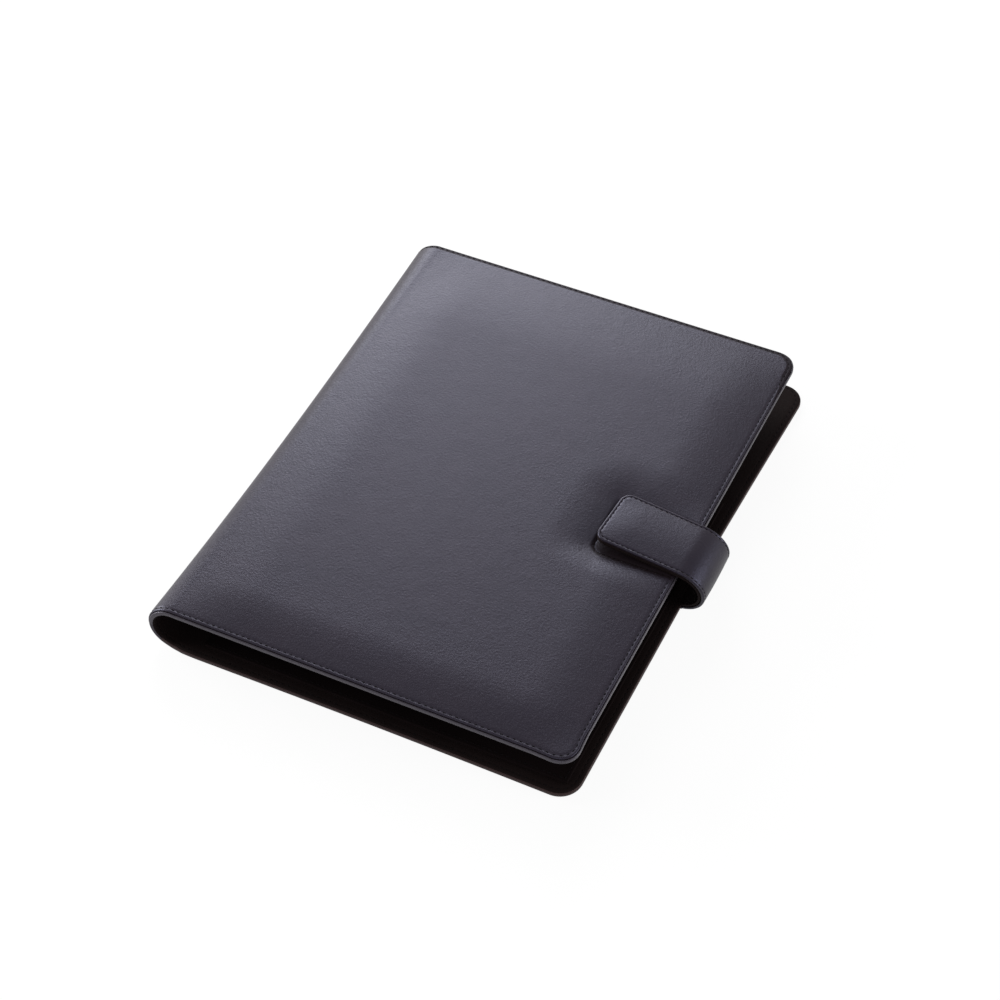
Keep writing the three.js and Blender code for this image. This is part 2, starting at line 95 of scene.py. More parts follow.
# Sizes that only show here, in mm. Edges and sewn lines of the cover
SET_BACK = 0.9
ROLL_WIDTH = 1.6
ROLL_DEPTH = 0.8
STITCH_INSET = 2.75
STITCH_PITCH = 3.62
THREAD = 0.55
GROOVE = 0.24
GROOVE_WIDTH = 0.9
# Where the lining's lip gets its edge colour, which carries painted highlight and painted shade
PAINTED_LIP_WIDTH = 0.85
PAINTED_LIP_HEIGHT = 3.5
PAINTED_BACK_LIP_HEIGHT = 3.9
# The crown, and the bed: its slope is for the near side and for the others
CROWN_HEIGHT = 2.9
CROWN_RUN = {"fore": 36.0, "tail": 30.0, "head": 60.0, "gutter": 36.0}
BED_LENGTH = 49.9
BED_WIDTH = 41.5
BED_CENTRE = -4.4
BED_CORNER = 6.0
BED_SLOPE = (20.0, 30.0)
BED_DROP = 0.15
BED_STEP = 0.6
BED_STEP_RUN = 2.4
BED_X = X_FRONT - BED_LENGTH
BED_LOW, BED_HIGH = BED_CENTRE - BED_WIDTH / 2, BED_CENTRE + BED_WIDTH / 2
BOSS_SKIRT = 2.5
BOSS_SLOPE = 3.5
# Painted shade, a darker and less glossy leather: the margin at the head and how it fades in, and the bed's floor
# under the strap
PAINTED_SHADE_HEAD = 3.6
PAINTED_SHADE_FROM_HEAD = 45
PAINTED_SHADE_RUN = 35
PAINTED_SHADE_PAST_BED = 0.8
PAINTED_SHADE_DEPTH = 0.9
# The strap: its crown is a share of the full height up to the top of the bend, and it drifts, leans and is askew
STRAP_WIDTH = 37.6
STRAP_SHORTER = 1.5
STRAP_TIP_CORNER = 6.5
STRAP_CROWN = 1.2
STRAP_CROWN_ROOT = 0.25
STRAP_CROWN_RUN = 16
STRAP_GROOVE = 0.25
STRAP_GROOVE_WIDTH = 0.5
STRAP_STITCH_PITCH = 3.18
STRAP_STITCH_INSET = 1.75
STRAP_DRIFT = (-0.8, 4.5)
STRAP_LEAN = 0.06
STRAP_SKEW = 0.072
STRAP_SKEW_RUN = 20
# The play of the edges, how far along and across, and the waves of the spine
FAR_CORNER = (4.5, 1.0)
FAR_POWER = 1.3
BACK_OUT = (0.5, 1.8)
FRONT_OUT = (0.5, 0.4)
HEAD_OUT = 1.5
HEAD_DROP = 0.35
HEAD_DROP_RUN = 2.6
NEAR_IN = 0.6
SHARP_CORNER = (1.6, 1.1)
SHARP_RUN = 22
BACK_WAIST = 0.8
BACK_FADE = 16
FRONT_FADE_START = 0.6
FRONT_FADE = 20
BOW = 1.75
BOW_SCALE = 1.5
WAVE = -0.25
WAVE_SCALE = 2.6
# Stitches and bends, as shares of their pitch and of the length between two cuts
STITCH_SHARE = 0.68
POCKET_STITCH_SHARE = 0.82
POCKET_STITCH_PITCH = 3.4
POCKET_STITCH_INSET = 1.9
BLEND_SHARE = 0.78


# --- Paths: a place along the unrolled leather, to a point and its outward side ---

def wrap_path(s):
    """The outside of covers and spine. s is 0 at the back cover's gutter and grows towards the front."""
    s = np.asarray(s, float)
    turn = np.clip(s / SPINE_RADIUS, 0, math.pi)
    over = s - SPINE_RADIUS * turn
    x = X_GUTTER - SPINE_RADIUS * np.sin(turn) + np.where(s < 0, -over, over)
    z = SPINE_RADIUS - SPINE_RADIUS * np.cos(turn)
    return np.stack([x, z], -1), np.stack([-np.sin(turn), -np.cos(turn)], -1)


def strap_path(s):
    """The outside of the strap. s is 0 under the middle of the bend and grows towards the tip."""
    s = np.asarray(s, float)
    turn = np.clip(s / STRAP_RADIUS, 0, STRAP_TURN)
    over = np.maximum(s - STRAP_RADIUS * STRAP_TURN, 0)
    x = X_BEND + STRAP_RADIUS * np.sin(turn) + over * math.cos(STRAP_TURN)
    z = STRAP_FLOOR + STRAP_RADIUS - STRAP_RADIUS * np.cos(turn) + over * math.sin(STRAP_TURN)
    return np.stack([x, z], -1), np.stack([np.sin(turn), -np.cos(turn)], -1)


S_BACK = X_GUTTER - X_BACK
S_TOP = math.pi * SPINE_RADIUS
S_FRONT = S_TOP + X_FRONT - X_GUTTER
STRAP_BEND = STRAP_RADIUS * STRAP_TURN
STRAP_START = STRAP_RADIUS * math.asin((X_BACK - X_BEND + FIT) / STRAP_RADIUS)
STRAP_END = STRAP_BEND + STRAP_LAP - STRAP_SHORTER


def on_front(x):
    """The place along the wrap of an x on the front cover."""
    return S_TOP + (x - X_GUTTER)


# A bend of soft leather that four hinge lines share: where it is cut into pieces, the hinge lines, how far the
# leather turns on each side of one, and the bodies from one end to the other
Fold = namedtuple("Fold", "path cuts lines half pieces bodies")


def fold(path, radius, turn, pieces, bodies):
    """A fold with its cuts midway between the four hinge lines, which share the turn evenly."""
    cuts = [radius * turn * k / 4 for k in (1, 2, 3)]
    hinges = [radius * (turn * (2 * k - 1) / 8) for k in (1, 2, 3, 4)]
    return Fold(path, cuts, hinges, radius * turn / 8 * BLEND_SHARE, pieces, bodies)


SPINE = fold(wrap_path, SPINE_RADIUS, math.pi, ["_back", "_spine_low", "_spine_high", "_front"],
             ["back_cover", "spine_1", "spine_2", "spine_3", "front_cover"])
STRAP = fold(strap_path, STRAP_RADIUS, STRAP_TURN, ["_root", "_low", "_high", "_lap"],
             ["back_cover", "strap_1", "strap_2", "strap_3", "strap_tip"])


def bend(objects, turned):
    """Bakes the transform of each piece of a fold, given with their numbers, into its mesh."""
    for k, obj in objects:
        for s in (turned.lines[k] - turned.half, turned.lines[k] + turned.half):
            p, n = turned.path(np.array([s]))
        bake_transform(obj)


# --- A slab of leather: a face, its edge profile all round, and an underside ---

# face and under have the same number of rows of (inset, depth). The face's rows go from the hem round the rim and
# inwards, and corner is the outline's radius
Edge = namedtuple("Edge", "face under corner")
RING_STEP = 0.004
FACE_BAND = 0.6
FAR_INSIDE = 1e3


def ring_params(face, corner):
    """Where each row of a profile lies across a round corner: 1 on the outline, falling inwards."""
    first = next(k for k, row in enumerate(face) if row[1] == face[-1][1])
    rim = [1 - face[first][0] / corner + RING_STEP * (first - k) for k in range(first)]
    return rim + [1 - inset / corner for inset, _ in face[first:]]


def grid_lines(low, high, inner):
    """Grid lines across a slab, as rows of (kind, place in the edge's profile or flat coordinate)."""
    out = [("low", k) for k in range(len(low.face))]
    out += [("flat", v) for v in inner]
    out += [("high", k) for k in reversed(range(len(high.face)))]
    return out


def grid_table(rows, span, low, high, under):
    """For each grid line its coordinate, depth, inset, side (-1, 0 or 1) and place in the edge's profile."""
    out = []
    for kind, v in rows:
        if kind == "flat":
            out.append((v, 0, FAR_INSIDE, 0, 0))
            continue
        profile = low if kind == "low" else high
        inset, depth = (profile.under if under else profile.face)[v]
        out.append((span[0] + inset, depth, inset, -1, v) if kind == "low" else
                   (span[1] - inset, depth, inset, 1, v))
    return np.array(out, float).T


class Slab:
    """A closed slab on a path, as numpy arrays of points and quads, with what the materials read."""

    def __init__(self, path, s_span, y_span, edges, s_inner, y_inner, rise, shift):
        self.s_span, self.y_span = s_span, y_span
        self.edges = edges
        self.rows_s = grid_lines(edges["s_low"], edges["s_high"], s_inner)
        self.rows_y = grid_lines(edges["y_low"], edges["y_high"], y_inner)
        self.build(path, rise, shift)

    def flat(self, under):
        """Arrays of s, y, depth and inset for every crossing of the grid lines."""
        e = self.edges
        cs, ds, is_, ks, vs = grid_table(self.rows_s, self.s_span, e["s_low"], e["s_high"], under)
        cy, dy, iy, ky, vy = grid_table(self.rows_y, self.y_span, e["y_low"], e["y_high"], under)
        ns, ny = len(cs), len(cy)
        S = np.repeat(cs[:, None], ny, 1)
        Y = np.repeat(cy[None, :], ns, 0)
        D = np.full((ns, ny), e["under_depth"] if under else e["face_depth"])
        inset = np.minimum(is_[:, None], iy[None, :])
        for i in range(ns):
            for j in range(ny):
                if ks[i] == 0 and ky[j] == 0:
                    continue
                if ks[i] == 0 or ky[j] == 0:
                    D[i, j] = dy[j] if ks[i] == 0 else ds[i]
                    continue
                # in a corner the outer of the two rows gives the ring and the depth
                edge_s = e["s_low"] if ks[i] < 0 else e["s_high"]
                edge_y = e["y_low"] if ky[j] < 0 else e["y_high"]
                radius = edge_s.corner
                us = ring_params(edge_s.face, radius)[int(vs[i])]
                uy = ring_params(edge_y.face, radius)[int(vy[j])]
                if us <= 0 or uy <= 0:
                    D[i, j] = ds[i] if us > uy else dy[j]
                    continue
                angle = math.pi / 4 * uy / us if us >= uy else math.pi / 2 - math.pi / 4 * us / uy
                inset[i, j], D[i, j] = (is_[i], ds[i]) if us >= uy else (iy[j], dy[j])
                r = radius - inset[i, j]
                centre_s = self.s_span[0] + radius if ks[i] < 0 else self.s_span[1] - radius
                centre_y = self.y_span[0] + radius if ky[j] < 0 else self.y_span[1] - radius
                S[i, j] = centre_s + ks[i] * r * math.cos(angle)
                Y[i, j] = centre_y + ky[j] * r * math.sin(angle)
        return S, Y, D, inset

    def build(self, path, rise, shift):
        ns, ny = len(self.rows_s), len(self.rows_y)
        S0, Y0, D0, inset0 = self.flat(False)
        S1, Y1, D1, inset1 = self.flat(True)
        if rise is not None:
            share = np.clip(1 - np.abs(D0 - self.edges["face_depth"]) / FACE_BAND, 0, 1)
            D0 = D0 - share * rise(S0, Y0)
        top = np.arange(ns * ny).reshape(ns, ny)
        low = top.copy()
        inner = np.zeros((ns, ny), bool)
        inner[1:-1, 1:-1] = True
        low[inner] = ns * ny + np.arange(inner.sum())
        self.S, self.Y, self.D, self.inset = (
            np.concatenate([face.ravel(), under[inner]])
            for face, under in ((S0, S1), (Y0, Y1), (D0, D1), (inset0, inset1)))
        S, Y, D = shift(self.S, self.Y, self.D)
        xz, out = path(S)
        xz = xz - out * D[:, None]
        self.points = np.stack([xz[:, 0], Y, xz[:, 1]], -1)
        faces_top = np.stack([top[:-1, :-1], top[1:, :-1], top[1:, 1:], top[:-1, 1:]], -1).reshape(-1, 4)
        faces_low = np.stack([low[:-1, :-1], low[:-1, 1:], low[1:, 1:], low[1:, :-1]], -1).reshape(-1, 4)
        self.faces = np.concatenate([faces_top, faces_low])
        # facing out: the volume is positive
        p = self.points[self.faces]
        halves = [np.cross(p[:, k] - p[:, 0], p[:, k + 1] - p[:, 0]) for k in (1, 2)]
        if sum(np.einsum("ij,ij->i", p[:, 0], half).sum() for half in halves) < 0:
            self.faces = self.faces[:, ::-1]
        self.normals = normals_of(self.points, self.faces)
        self.centres_s = self.S[self.faces].mean(1)


def normals_of(points, faces):
    p = points[faces]
    n = np.cross(p[:, 2] - p[:, 0], p[:, 3] - p[:, 1])
    out = np.zeros_like(points)
    for k in range(4):
        np.add.at(out, faces[:, k], n)
    return out / np.maximum(np.linalg.norm(out, axis=1, keepdims=True), 1e-12)


def mesh_object(name, points, faces, material, normals=None):
    """A smooth mesh object from mm points and faces."""
    mesh = bpy.data.meshes.new(name)
    mesh.from_pydata([tuple(p) for p in points * MM], [], [tuple(int(i) for i in f) for f in faces])
    mesh.polygons.foreach_set("use_smooth", [True] * len(mesh.polygons))
    mesh.materials.append(material)
    mesh.update()
    if normals is not None:
        mesh.normals_split_custom_set_from_vertices([tuple(n) for n in normals])
    obj = bpy.data.objects.new(name, mesh)
    bpy.context.scene.collection.objects.link(obj)
    return obj


def face_means(slab):
    """The middle of every face: its inset, its depth, and its place along and across the path."""
    return (v[slab.faces].mean(1) for v in (slab.inset, slab.D, slab.S, slab.Y))


def piece_spans(turned):
    """The number, name and two ends of each piece of a fold."""
    return zip(range(4), turned.pieces, [-math.inf, *turned.cuts], [*turned.cuts, math.inf])


def split(slab, name, material, turned, marks=()):
    """Cuts a slab into the pieces of a fold. Marks give each piece a second material, and the faces of the slab
    that have it."""
    out = []
    for k, piece, start, end in piece_spans(turned):
        keep = (slab.centres_s > start) & (slab.centres_s < end)
        used, index = np.unique(slab.faces[keep], return_inverse=True)
        obj = mesh_object(f"{name}{piece}", slab.points[used], index.reshape(-1, 4), material,
                          slab.normals[used])
        if marks:
            second, marked = marks[k]
            obj.data.materials.append(second)
            obj.data.polygons.foreach_set("material_index", marked[keep].astype(np.int32))
        out.append(obj)
    return out


# --- Materials ---

# How far a colour and a roughness go up and down over a surface, and the depth of grain and unevenness in metres
CLOUD = 0.15
MOTTLE = 0.06
GRAIN_DEPTH = 0.0003
UNEVEN_DEPTH = 0.0012


def node(tree, kind, x, y, **inputs):
    """A node of a material, with values for the sockets that are named."""
    n = tree.nodes.new(kind)
    n.location = (x, y)
    for key, v in inputs.items():
        n.inputs[key.replace("_", " ")].default_value = v
    return n


def leather(name, colour, roughness, grain=1.0, specular=0.5, tint=(0.62, 0.65, 1.0)):
    """Smooth leather: soft cloudy colour, fine pebbled grain, and a faint broad unevenness."""
    m = bpy.data.materials.new(name)
    m.use_nodes = True
    t = m.node_tree
    t.nodes.clear()
    out = node(t, "ShaderNodeOutputMaterial", 900, 0)
    bsdf = node(t, "ShaderNodeBsdfPrincipled", 600, 0)
    bsdf.inputs["Specular IOR Level"].default_value = specular
    bsdf.inputs["Specular Tint"].default_value = (*tint, 1)
    t.links.new(bsdf.outputs[0], out.inputs[0])
    coords = node(t, "ShaderNodeTexCoord", -1200, 0)
    clouds = node(t, "ShaderNodeTexNoise", -900, 300, Scale=38.0, Detail=5.0, Roughness=0.6)
    ramp = node(t, "ShaderNodeValToRGB", -600, 300)
    ramp.color_ramp.elements[0].position = 0.3
    ramp.color_ramp.elements[1].position = 0.75
    ramp.color_ramp.elements[0].color = (*[c * (1 - CLOUD) for c in colour], 1)
    ramp.color_ramp.elements[1].color = (*[c * (1 + CLOUD) for c in colour], 1)
    t.links.new(coords.outputs["Object"], clouds.inputs["Vector"])
    t.links.new(clouds.outputs["Fac"], ramp.inputs["Fac"])
    t.links.new(ramp.outputs["Color"], bsdf.inputs["Base Color"])
    mottled = node(t, "ShaderNodeTexNoise", -900, 0, Scale=420.0, Detail=4.0, Roughness=0.65)
    rough = node(t, "ShaderNodeMapRange", -600, 0)
    rough.inputs["To Min"].default_value = roughness - MOTTLE
    rough.inputs["To Max"].default_value = roughness + MOTTLE
    t.links.new(coords.outputs["Object"], mottled.inputs["Vector"])
    t.links.new(mottled.outputs["Fac"], rough.inputs["Value"])
    t.links.new(rough.outputs["Result"], bsdf.inputs["Roughness"])
    pebble = node(t, "ShaderNodeTexVoronoi", -900, -300, Scale=900.0)
    pebble.feature = "SMOOTH_F1"
    fine = node(t, "ShaderNodeTexNoise", -900, -600, Scale=650.0, Detail=6.0, Roughness=0.7)
    broad = node(t, "ShaderNodeTexNoise", -900, -900, Scale=90.0, Detail=4.0, Roughness=0.55)
    for n in (pebble, fine, broad):
        t.links.new(coords.outputs["Object"], n.inputs["Vector"])
    bump_a = node(t, "ShaderNodeBump", -300, -300, Strength=0.18 * grain, Distance=GRAIN_DEPTH)
    bump_b = node(t, "ShaderNodeBump", -100, -500, Strength=0.30 * grain, Distance=GRAIN_DEPTH)
    bump_c = node(t, "ShaderNodeBump", 100, -700, Strength=0.08 * grain, Distance=UNEVEN_DEPTH)
    t.links.new(pebble.outputs["Distance"], bump_a.inputs["Height"])
    t.links.new(fine.outputs["Fac"], bump_b.inputs["Height"])
    t.links.new(broad.outputs["Fac"], bump_c.inputs["Height"])
    t.links.new(bump_a.outputs["Normal"], bump_b.inputs["Normal"])
    t.links.new(bump_b.outputs["Normal"], bump_c.inputs["Normal"])
    t.links.new(bump_c.outputs["Normal"], bsdf.inputs["Normal"])
    return m


def plain(name, colour, roughness, metallic=0.0, scale=300.0, strength=0.2, specular=0.5):
    """A plain surface with a little procedural unevenness of colour and relief."""
    m = bpy.data.materials.new(name)
    m.use_nodes = True
    t = m.node_tree
    t.nodes.clear()
    out = node(t, "ShaderNodeOutputMaterial", 900, 0)
    bsdf = node(t, "ShaderNodeBsdfPrincipled", 600, 0)
    bsdf.inputs["Metallic"].default_value = metallic
    bsdf.inputs["Specular IOR Level"].default_value = specular
    bsdf.inputs["Roughness"].default_value = roughness
    t.links.new(bsdf.outputs[0], out.inputs[0])
    coords = node(t, "ShaderNodeTexCoord", -900, 0)
    noise = node(t, "ShaderNodeTexNoise", -600, 0, Scale=scale, Detail=5.0, Roughness=0.6)
    ramp = node(t, "ShaderNodeValToRGB", -300, 100)
    ramp.color_ramp.elements[0].color = (*[c * (1 - CLOUD) for c in colour], 1)
    ramp.color_ramp.elements[1].color = (*[min(1, c * (1 + CLOUD)) for c in colour], 1)
    bump = node(t, "ShaderNodeBump", 0, -300, Strength=strength, Distance=GRAIN_DEPTH)
    t.links.new(coords.outputs["Object"], noise.inputs["Vector"])
    t.links.new(noise.outputs["Fac"], ramp.inputs["Fac"])
    t.links.new(ramp.outputs["Color"], bsdf.inputs["Base Color"])
    t.links.new(noise.outputs["Fac"], bump.inputs["Height"])
    t.links.new(bump.outputs["Normal"], bsdf.inputs["Normal"])
    return m


COVER_LEATHER = leather("cover_leather", (0.0085, 0.0053, 0.0065), 0.42, grain=1.3, specular=0.25)
STRAP_LEATHER = leather("strap_leather", (0.0085, 0.0053, 0.0065), 0.42, grain=1.2, specular=0.27)
# Painted shade: a darker, less glossy leather for the head's margin and the bed's floor under the strap
PAINTED_SHADE_LEATHER = leather("painted_shade_leather", (0.0075, 0.0045, 0.0050), 0.55, grain=0.8, specular=0.09)
# The lining's edge is lighter than its face, in copies that follow the light: painted highlight on the front and
# the spine's high piece, painted shade on the spine's low piece, and a brownish painted highlight on the back
EDGE_PAINTED_HIGHLIGHT = leather("edge_painted_highlight", (0.026, 0.022, 0.026), 0.40, grain=0.6, specular=0.36,
                       tint=(0.72, 0.67, 0.88))
EDGE_BROWN_PAINTED_HIGHLIGHT = leather("edge_brown_painted_highlight", (0.015, 0.008, 0.008), 0.5, grain=0.6, specular=0.18,
                     tint=(1.0, 0.75, 0.75))
EDGE_PAINTED_SHADE = leather("edge_painted_shade", (0.017, 0.012, 0.013), 0.45, grain=0.6, specular=0.25)
LINING_LEATHER = leather("lining_leather", (0.0062, 0.0042, 0.0042), 0.70, grain=0.8, specular=0.04,
                         tint=(1.0, 0.75, 0.75))
POCKET_LEATHER = leather("pocket_leather", (0.0044, 0.0029, 0.0031), 0.78, grain=0.8, specular=0.02,
                         tint=(1.0, 0.75, 0.75))
THREAD_BLACK = plain("thread", (0.0045, 0.0035, 0.0040), 0.8, scale=2500.0, strength=0.4, specular=0.03)
ELASTIC = plain("elastic", (0.012, 0.011, 0.012), 0.85, scale=1500.0, strength=0.5)
BOARD = plain("board", (0.27, 0.24, 0.19), 0.9)
STEEL = plain("steel", (0.5, 0.5, 0.5), 0.35, metallic=1.0, scale=800.0, strength=0.05)


# --- The leather wrap of both covers and the spine ---

def smooth(v):
    v = np.clip(v, 0, 1)
    return v * v * (3 - 2 * v)


def crown_share(d, side):
    return np.sin(np.clip((d - STITCH_INSET) / CROWN_RUN[side], 0, 1) * math.pi / 2)


def edge_distance(s, y):
    """Distance inside the outline of the unrolled wrap, which has round corners."""
    middle, half = (S_BACK + S_FRONT) / 2, (S_FRONT - S_BACK) / 2
    ds = np.abs(s - middle) - (half - CORNER)
    dy = np.abs(y) - (LENGTH / 2 - CORNER)
    outside = np.hypot(np.maximum(ds, 0), np.maximum(dy, 0))
    return CORNER - outside - np.minimum(np.maximum(ds, dy), 0)


def bed_distance(x, y):
    """Distance outside the bed's stitched outline, negative inside. The bed is open to the fore-edge."""
    dx = BED_X + BED_CORNER - x
    dy = np.abs(y - BED_CENTRE) - (BED_WIDTH / 2 - BED_CORNER)
    outside = np.hypot(np.maximum(dx, 0), np.maximum(dy, 0))
    return outside + np.minimum(np.maximum(dx, dy), 0) - BED_CORNER


def groove(d):
    return GROOVE * np.exp(-(d / GROOVE_WIDTH) ** 2)


def wrap_rise(s, y):
    """How far the wrap's outside stands out: the padded front, its bed and its sewn lines."""
    x = X_GUTTER + (s - S_TOP)
    front = s > S_TOP
    fore, tail, head, gutter = X_FRONT - x, y + LENGTH / 2, LENGTH / 2 - y, x - X_GUTTER
    crown = crown_share(fore, "fore") * crown_share(tail, "tail") * crown_share(head, "head")
    crown = crown * crown_share(gutter + STITCH_INSET, "gutter")
    bed = bed_distance(x, y)
    beside = np.maximum(BED_X + BED_CORNER - x, 0) ** 2
    below = np.maximum(BED_LOW + BED_CORNER - y, 0) ** 2
    slope_run = BED_SLOPE[1] + (BED_SLOPE[0] - BED_SLOPE[1]) * smooth(below / (beside + below + 0.01))
    slope = 1 - (1 - np.clip(bed / slope_run, 0, 1)) ** 2
    boss = np.hypot(x - MAGNET_X, y)
    lift = BOSS_RISE * smooth((BOSS_RADIUS + BOSS_SKIRT - boss) / BOSS_SLOPE)
    height = CROWN_HEIGHT * crown * slope + lift - BED_DROP * (1 - slope) * crown_share(fore, "fore")
    step = BED_STEP * (1 - smooth(bed / BED_STEP_RUN)) * crown_share(fore, "fore")
    sewn = groove(edge_distance(s, y) - STITCH_INSET)
    sewn_bed = np.where(front & (fore > STITCH_INSET), groove(bed), 0)
    return np.where(front, height - step, 0) - np.maximum(sewn, sewn_bed)


def wrap_shift(s, y, d):
    """The small play of real leather: the edges lie a little further out, most at the back's far corner."""
    u = y / (LENGTH / 2)
    back = np.clip(s / S_BACK, 0, 1) ** 2
    front = np.clip((s - S_TOP) / (S_FRONT - S_TOP), 0, 1) ** 2
    far = np.clip(u, 0, 1)
    round_spine = np.sin(np.clip(s / SPINE_RADIUS, 0, math.pi))
    bow = BOW * BOW_SCALE * (u * u - 1 / 3) + WAVE * WAVE_SCALE * u * (u * u - 1)
    back_share = smooth((BACK_FADE / 2 - s) / BACK_FADE)
    front_share = smooth((s - S_TOP * FRONT_FADE_START) / FRONT_FADE)
    s_out = FRONT_OUT[0] * front - back * (BACK_OUT[0] + FAR_CORNER[0] * far ** FAR_POWER)
    y_out = BACK_OUT[1] * u ** 3 * back_share + FAR_CORNER[1] * back * far ** 2
    y_out = y_out + (HEAD_OUT * front_share + FRONT_OUT[1] * front) * far ** 3
    waist = BACK_WAIST * np.sin(math.pi * np.clip(s / S_BACK, 0, 1)) * back_share
    y_out = y_out + (NEAR_IN * front_share + waist) * np.clip(-u, 0, 1) ** 3
    sharp = smooth((SHARP_RUN - (S_FRONT - s)) / SHARP_RUN)
    sharp = sharp * smooth((SHARP_RUN - (y + LENGTH / 2)) / SHARP_RUN)
    s_out, y_out = s_out + SHARP_CORNER[0] * sharp, y_out - SHARP_CORNER[1] * sharp
    drop = HEAD_DROP * smooth((STITCH_INSET - (LENGTH / 2 - y)) / HEAD_DROP_RUN) * front_share
    return s + s_out, y + y_out, d - bow * round_spine + drop


def grid(*spans):
    """Grid lines over spans of (from, to, spacing)."""
    out = []
    for a, b, step in spans:
        out += list(np.linspace(a, b, max(1, round((b - a) / step)) + 1))
    return out


# Insets of the even rows inside the rim, and where the grid of the middle starts
FACE_INSETS = [3.1, 3.6, 4.2, 5.2, 6.6, 8.4, 10.3, 12.2]
INNER = 14


def under_rows(count, hem, depth):
    """The rows of an underside: the end of the hem, then even steps to the last inset of the face."""
    left = count - 2
    run = FACE_INSETS[-1] - HEM_WIDTH
    return [(HEM_WIDTH, hem), (HEM_WIDTH, depth)] + [(HEM_WIDTH + run * (k + 1) / left, depth) for k in range(left)]


def all_round(profile, face_depth, under_depth):
    return {"s_low": profile, "s_high": profile, "y_low": profile, "y_high": profile,
            "face_depth": face_depth, "under_depth": under_depth}


def wrap_edge():
    """The leather stands back from the lining's edge, turns in under itself, and rolls down outside its
    stitches."""
    rim = [(HEM_WIDTH, HEM_DEPTH), (4.0, HEM_DEPTH), (SET_BACK + 0.5, HEM_DEPTH), (SET_BACK + 0.1, 1.93),
           (SET_BACK, 1.8), (SET_BACK, 1.5)]
    for a in np.radians([0, 15, 30, 45, 60, 75, 90]):
        rim.append((SET_BACK + ROLL_WIDTH * (1 - math.cos(a)), ROLL_DEPTH * (1 - math.sin(a))))
    face = rim + [(i, 0.0) for i in FACE_INSETS]
    return Edge(face, under_rows(len(face), HEM_DEPTH, LEATHER), CORNER)


def painted_shade_faces(slab):
    """The faces with painted shade, in darker and less glossy leather: a margin at the head that fades in towards
    it, and the floor of the bed.
    """
    inset, depth, s, y = face_means(slab)
    margin = PAINTED_SHADE_HEAD * smooth((y - LENGTH / 2 + PAINTED_SHADE_FROM_HEAD) / PAINTED_SHADE_RUN)
    at_head = (inset < SET_BACK + margin) & (depth < LEATHER)
    in_bed = (bed_distance(X_GUTTER + s - S_TOP, y) < PAINTED_SHADE_PAST_BED) & (s > S_TOP)
    return at_head | in_bed & (inset > SET_BACK + ROLL_WIDTH) & (depth < PAINTED_SHADE_DEPTH)


COVERS = ((S_BACK, S_FRONT), (-LENGTH / 2, LENGTH / 2))
wrap_s = grid((S_BACK + INNER, -4, 5.0), (0, S_TOP, S_TOP / 32), (S_TOP + 2, on_front(BED_X - 26), 4.0),
              (on_front(BED_X - 24), on_front(BED_X - 4), 2.0), (on_front(BED_X - 3), on_front(BED_X + 8), 0.6),
              (on_front(BED_X + 9), S_FRONT - INNER, 1.4))
wrap_y = grid((-LENGTH / 2 + INNER, BED_LOW - 9, 3.0), (BED_LOW - 7.3, BED_LOW + 2.5, 0.7),
              (BED_LOW + 4, BED_HIGH - 4, 1.6), (BED_HIGH - 2.5, BED_HIGH + 2.5, 0.6),
              (BED_HIGH + 4, LENGTH / 2 - INNER, 3.0))
wrap = Slab(wrap_path, *COVERS, all_round(wrap_edge(), 0.0, LEATHER), wrap_s, wrap_y, wrap_rise, wrap_shift)
# The cover's leather, with painted shade on the head's margin and on the bed's floor
cover = split(wrap, "leather", COVER_LEATHER, SPINE, [(PAINTED_SHADE_LEATHER, painted_shade_faces(wrap))] * 4)
bend(enumerate(cover), SPINE)
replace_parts(cover[0], "back_leather", "spine_leather_1")
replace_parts(cover[1], "spine_leather_2")
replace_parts(cover[2], "spine_leather_3")
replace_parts(cover[3], "front_leather", "front_padding")


# --- The lining ---

def lining_edge():
    """The lining stands proud of the leather all round, and its edge is turned up round the leather's."""
    rim = [(HEM_WIDTH, 2.3), (4.0, 2.3), (1.6, 2.3), (1.05, 2.22), (0.82, 1.95), (0.8, 1.45), (0.62, 1.2),
           (0.35, 1.2), (0.1, 1.35), (0.0, 1.65), (0.0, 3.2), (0.12, 3.55),
           (0.45, 3.8), (0.9, 4.05), (1.5, 4.35), (2.2, 4.55)]
    face = rim + [(i, COVER_DEPTH) for i in [STITCH_INSET] + FACE_INSETS]
    return Edge(face, under_rows(len(face), rim[0][1], LINING_UNDER), CORNER)


def lining_rise(s, y):
    """The lining's face looks inwards, so its sewn groove takes depth away."""
    return groove(edge_distance(s, y) - STITCH_INSET)


lining_s = grid((S_BACK + INNER, -4, 8.0), (0, S_TOP, S_TOP / 32), (S_TOP + 4, S_FRONT - INNER, 8.0))
lining_y = grid((-LENGTH / 2 + INNER, LENGTH / 2 - INNER, 8.0))
lining = Slab(wrap_path, *COVERS, all_round(lining_edge(), COVER_DEPTH, LINING_UNDER), lining_s, lining_y,
              lining_rise, wrap_shift)
